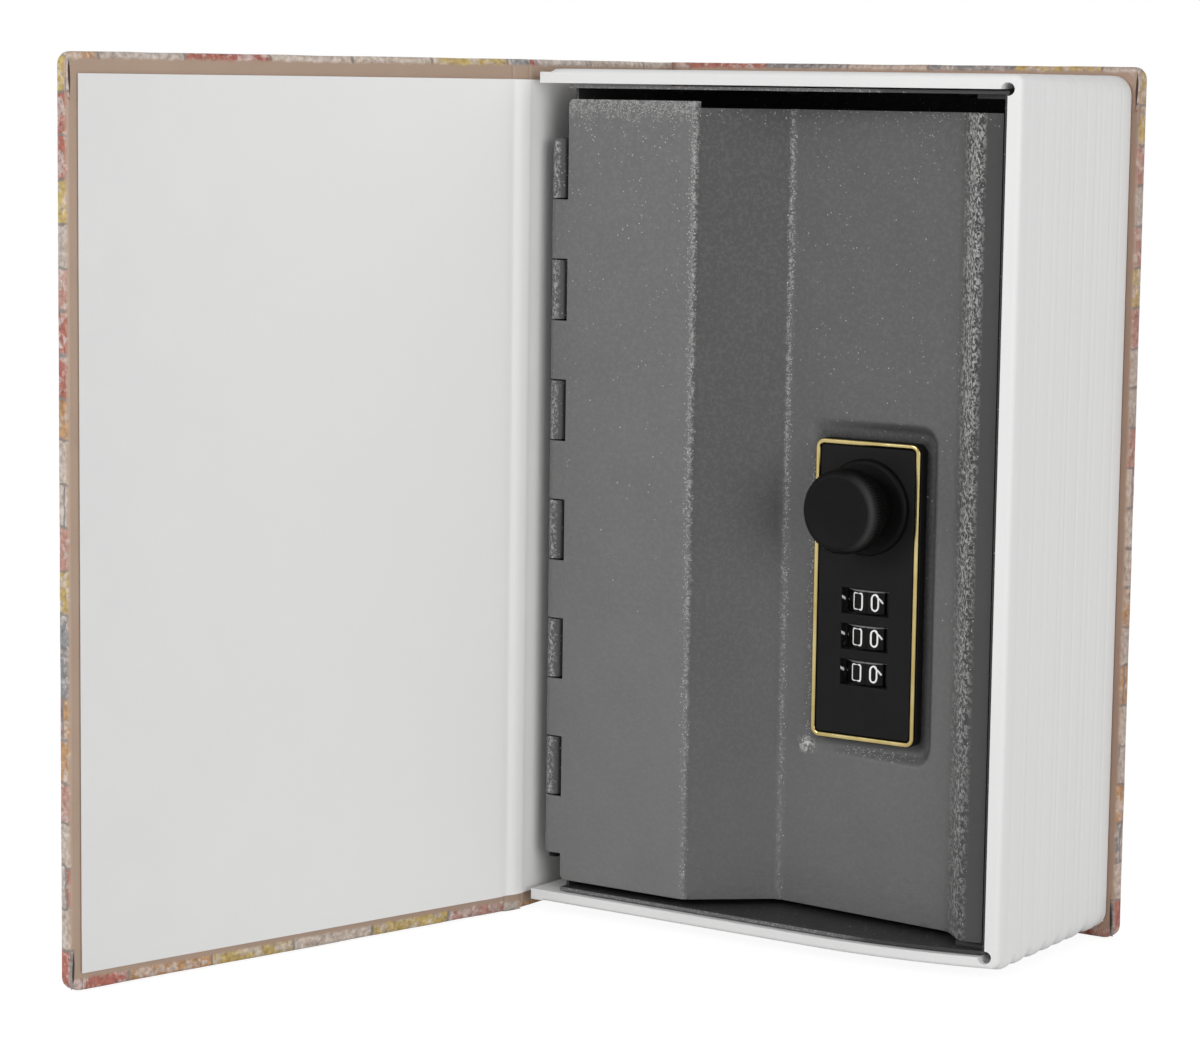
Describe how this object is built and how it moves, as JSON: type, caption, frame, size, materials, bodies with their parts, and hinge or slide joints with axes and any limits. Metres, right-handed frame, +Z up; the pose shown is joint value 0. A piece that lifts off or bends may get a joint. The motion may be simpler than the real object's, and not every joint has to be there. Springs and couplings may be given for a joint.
{
  "type": "book diversion safe",
  "caption": "Hardcover book diversion safe, cover open: a page-edge frame round a steel box whose hinged door carries a combination lock with number wheels and a turn knob.",
  "frame": {"origin": "middle of the back cover's bottom edge, on the surface that the book stands on", "axes": "+Z up along the spine, +Y from the door through the box towards the back cover, +X from the spine to the fore-edge"},
  "size_m": [0.1437, 0.167, 0.1799],
  "materials": {
    "printed_board": "satin printed paper over greyboard",
    "joint_cloth": "printed paper on a cloth joint",
    "endpaper": "matte white paper",
    "page_plastic": "satin, moulded with fine page grooves",
    "box_paint": "fine textured powder coat",
    "door_paint": "fine speckled powder coat",
    "bright_steel": "zinc plated",
    "lock_black": "fine matte texture",
    "rim_brass": "polished",
    "housing_grey": "moulded, satin",
    "wheel_black": "satin with white digits",
    "knob_black": "satin with a finely ribbed rim"
  },
  "bodies": {
    "safe": {"page_frame": "page_plastic", "box_shell": "box_paint", "hinge_pin": "box_paint", "latch_keeper": "bright_steel", "spine_board": "printed_board", "spine_lining": "endpaper", "back_joint_cloth": "joint_cloth", "back_board": "printed_board", "back_endpaper": "endpaper", "frame_rivet_1": "bright_steel", "frame_rivet_2": "bright_steel", "frame_rivet_3": "bright_steel", "frame_rivet_4": "bright_steel", "frame_rivet_5": "bright_steel", "frame_rivet_6": "bright_steel", "frame_rivet_7": "bright_steel", "frame_rivet_8": "bright_steel", "box_rivet_1": "bright_steel", "box_rivet_2": "bright_steel", "box_rivet_3": "bright_steel", "box_rivet_4": "bright_steel"},
    "front_cover": {"front_board": "printed_board", "front_endpaper": "endpaper", "front_joint_cloth": "joint_cloth"},
    "door": {"door_panel": "door_paint", "lock_plate": "lock_black", "lock_rim": "rim_brass", "lock_housing": "housing_grey", "lock_screw_1": "bright_steel", "lock_screw_2": "bright_steel", "wheel_shaft": "bright_steel", "detent_spring": "bright_steel", "knob_collar": "knob_black"},
    "knob": {"knob": "knob_black", "spindle": "bright_steel", "latch_cam": "bright_steel", "cam_washer": "bright_steel", "cam_nut": "bright_steel"},
    "upper_wheel": {"number_wheel_1": "wheel_black", "wheel_hub_1": "rim_brass"},
    "middle_wheel": {"number_wheel_2": "wheel_black", "wheel_hub_2": "rim_brass"},
    "lower_wheel": {"number_wheel_3": "wheel_black", "wheel_hub_3": "rim_brass"},
    "code_lever": {"code_lever": "bright_steel"}
  },
  "joints": [
    {"name": "front_cover_hinge", "type": "hinge", "parent": "safe", "child": "front_cover", "pos_m": [-0.0586, -0.05545, 0.09], "axis": [0, 0, -1], "range_deg": [-103.8, 76.2]},
    {"name": "door_hinge", "type": "hinge", "parent": "safe", "child": "door", "pos_m": [-0.0534, -0.05045, 0.09], "axis": [0, 0, -1], "range_deg": [0, 95]},
    {"name": "knob_turn", "type": "hinge", "parent": "door", "child": "knob", "pos_m": [0.017, -0.03975, 0.0912], "axis": [0, 1, 0], "range_deg": [0, 90]},
    {"name": "upper_wheel_turn", "type": "hinge", "parent": "door", "child": "upper_wheel", "pos_m": [0.017, -0.03505, 0.0719], "axis": [0, 0, 1], "continuous": true},
    {"name": "middle_wheel_turn", "type": "hinge", "parent": "door", "child": "middle_wheel", "pos_m": [0.017, -0.03505, 0.0646], "axis": [0, 0, 1], "continuous": true},
    {"name": "lower_wheel_turn", "type": "hinge", "parent": "door", "child": "lower_wheel", "pos_m": [0.017, -0.03505, 0.0573], "axis": [0, 0, 1], "continuous": true},
    {"name": "code_lever_slide", "type": "slide", "parent": "door", "child": "code_lever", "axis": [0, 0, 1], "range_m": [0, 0.0035]}
  ]
}
